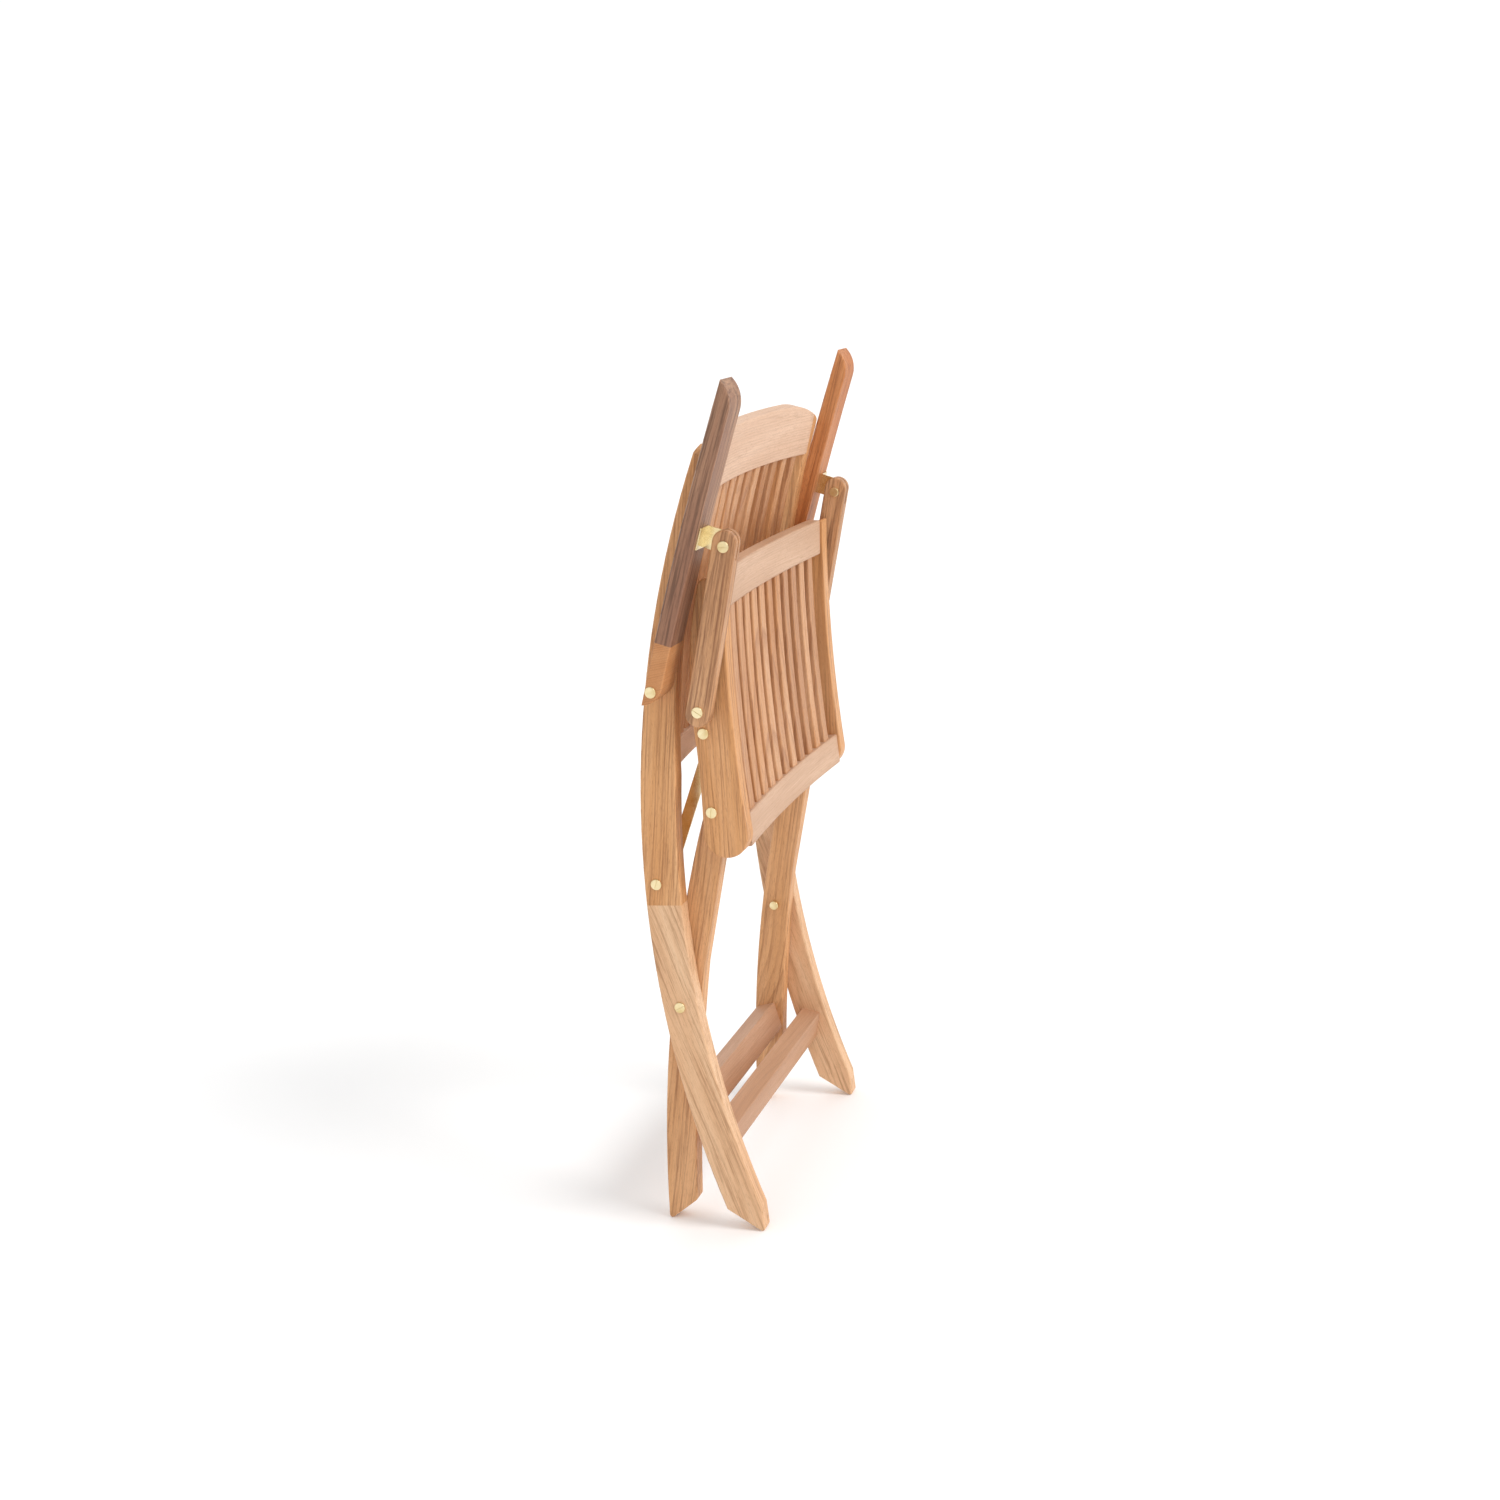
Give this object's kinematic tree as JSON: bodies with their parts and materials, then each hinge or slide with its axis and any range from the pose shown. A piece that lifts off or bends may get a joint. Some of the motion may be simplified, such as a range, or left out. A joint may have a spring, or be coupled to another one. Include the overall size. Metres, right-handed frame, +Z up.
{
  "type": "folding armchair",
  "caption": "Slatted hardwood folding armchair, folded: crossed curved legs, slatted seat and back, flat arms on struts, brass links and slotted bolts.",
  "frame": {"origin": "centre of the folded chair's footprint box, on the floor under its feet", "axes": "+Z up, +Y towards the sitter's back, +X across the chair to its right-hand members as seen from behind it; drawn folded, with the back member in its folded stance"},
  "size_m": [0.6064, 0.2359, 1.1684],
  "materials": {
    "stile_teak": "oiled teak, straight grain with darker streaks",
    "leg_teak": "oiled teak, paler board",
    "rear_leg_teak": "oiled teak, orange brown board",
    "rail_teak": "oiled teak, pale pinkish board with flowing grain",
    "slat_teak": "oiled teak, light fronts",
    "arm_teak": "oiled teak, dark brown board",
    "heel_teak": "oiled teak, bright orange block",
    "strut_teak": "oiled teak, mid brown board",
    "brass": "polished brass"
  },
  "bodies": {
    "back_frame": {"back_stile_left": "stile_teak", "back_stile_right": "stile_teak", "front_leg_left": "leg_teak", "front_leg_right": "leg_teak", "crest_rail": "rail_teak", "lower_back_rail": "rail_teak", "front_stretcher": "rail_teak", "back_slat_01": "slat_teak", "back_slat_02": "slat_teak", "back_slat_03": "slat_teak", "back_slat_04": "slat_teak", "back_slat_05": "slat_teak", "back_slat_06": "slat_teak", "back_slat_07": "slat_teak", "back_slat_08": "slat_teak", "back_slat_09": "slat_teak", "back_slat_10": "slat_teak", "back_slat_11": "slat_teak", "cross_bolts": "brass", "link_lower_bolts": "brass", "arm_pivot_bolts": "brass"},
    "rear_legs": {"rear_leg_left": "rear_leg_teak", "rear_leg_right": "rear_leg_teak", "rear_stretcher": "rail_teak"},
    "seat": {"seat_rail_left": "rail_teak", "seat_rail_right": "rail_teak", "seat_front_rail": "rail_teak", "seat_rear_rail": "rail_teak", "seat_slat_01": "slat_teak", "seat_slat_02": "slat_teak", "seat_slat_03": "slat_teak", "seat_slat_04": "slat_teak", "seat_slat_05": "slat_teak", "seat_slat_06": "slat_teak", "seat_slat_07": "slat_teak", "seat_slat_08": "slat_teak", "seat_slat_09": "slat_teak", "seat_slat_10": "slat_teak", "seat_slat_11": "slat_teak", "seat_pivot_bolts": "brass", "link_upper_bolts": "brass", "strut_spacers": "brass"},
    "arm_left_body": {"arm_left": "arm_teak", "arm_heel_left": "heel_teak", "arm_bracket_left": "brass", "strut_upper_bolt_left": "brass"},
    "strut_left_body": {"strut_left": "strut_teak", "strut_lower_bolt_left": "brass"},
    "link_left_body": {"brass_link_left": "brass"},
    "arm_right_body": {"arm_right": "arm_teak", "arm_heel_right": "heel_teak", "arm_bracket_right": "brass", "strut_upper_bolt_right": "brass"},
    "strut_right_body": {"strut_right": "strut_teak", "strut_lower_bolt_right": "brass"},
    "link_right_body": {"brass_link_right": "brass"}
  },
  "joints": [
    {"name": "fold", "type": "hinge", "parent": "back_frame", "child": "rear_legs", "pos_m": [0, 0.056, 0.3287], "axis": [1, 0, 0], "range_deg": [0, 69]},
    {"name": "seat_tilt", "type": "hinge", "parent": "rear_legs", "child": "seat", "pos_m": [0, -0.0195, 0.6042], "axis": [1, 0, 0], "range_deg": [-129.2, 0]},
    {"name": "link_turn_left", "type": "hinge", "parent": "seat", "child": "link_left_body", "pos_m": [0, -0.0196, 0.7118], "axis": [1, 0, 0], "range_deg": [0, 151.41]},
    {"name": "arm_turn_left", "type": "hinge", "parent": "back_frame", "child": "arm_left_body", "pos_m": [0, 0.0273, 0.7803], "axis": [1, 0, 0], "range_deg": [0, 96.31]},
    {"name": "strut_turn_left", "type": "hinge", "parent": "arm_left_body", "child": "strut_left_body", "pos_m": [0, -0.083, 0.9597], "axis": [1, 0, 0], "range_deg": [-103.3, 0]},
    {"name": "link_turn_right", "type": "hinge", "parent": "seat", "child": "link_right_body", "pos_m": [0, -0.0196, 0.7118], "axis": [1, 0, 0], "range_deg": [0, 151.41]},
    {"name": "arm_turn_right", "type": "hinge", "parent": "back_frame", "child": "arm_right_body", "pos_m": [0, 0.0273, 0.7803], "axis": [1, 0, 0], "range_deg": [0, 96.31]},
    {"name": "strut_turn_right", "type": "hinge", "parent": "arm_right_body", "child": "strut_right_body", "pos_m": [0, -0.083, 0.9597], "axis": [1, 0, 0], "range_deg": [-103.3, 0]}
  ],
  "couplings": [
    {"joint": "seat_tilt", "follows": "fold", "ratio": -1.8723},
    {"joint": "link_turn_left", "follows": "fold", "ratio": 2.1942},
    {"joint": "arm_turn_left", "follows": "fold", "ratio": 1.3956},
    {"joint": "strut_turn_left", "follows": "fold", "ratio": -1.4969},
    {"joint": "link_turn_right", "follows": "fold", "ratio": 2.1942},
    {"joint": "arm_turn_right", "follows": "fold", "ratio": 1.3956},
    {"joint": "strut_turn_right", "follows": "fold", "ratio": -1.4969}
  ]
}
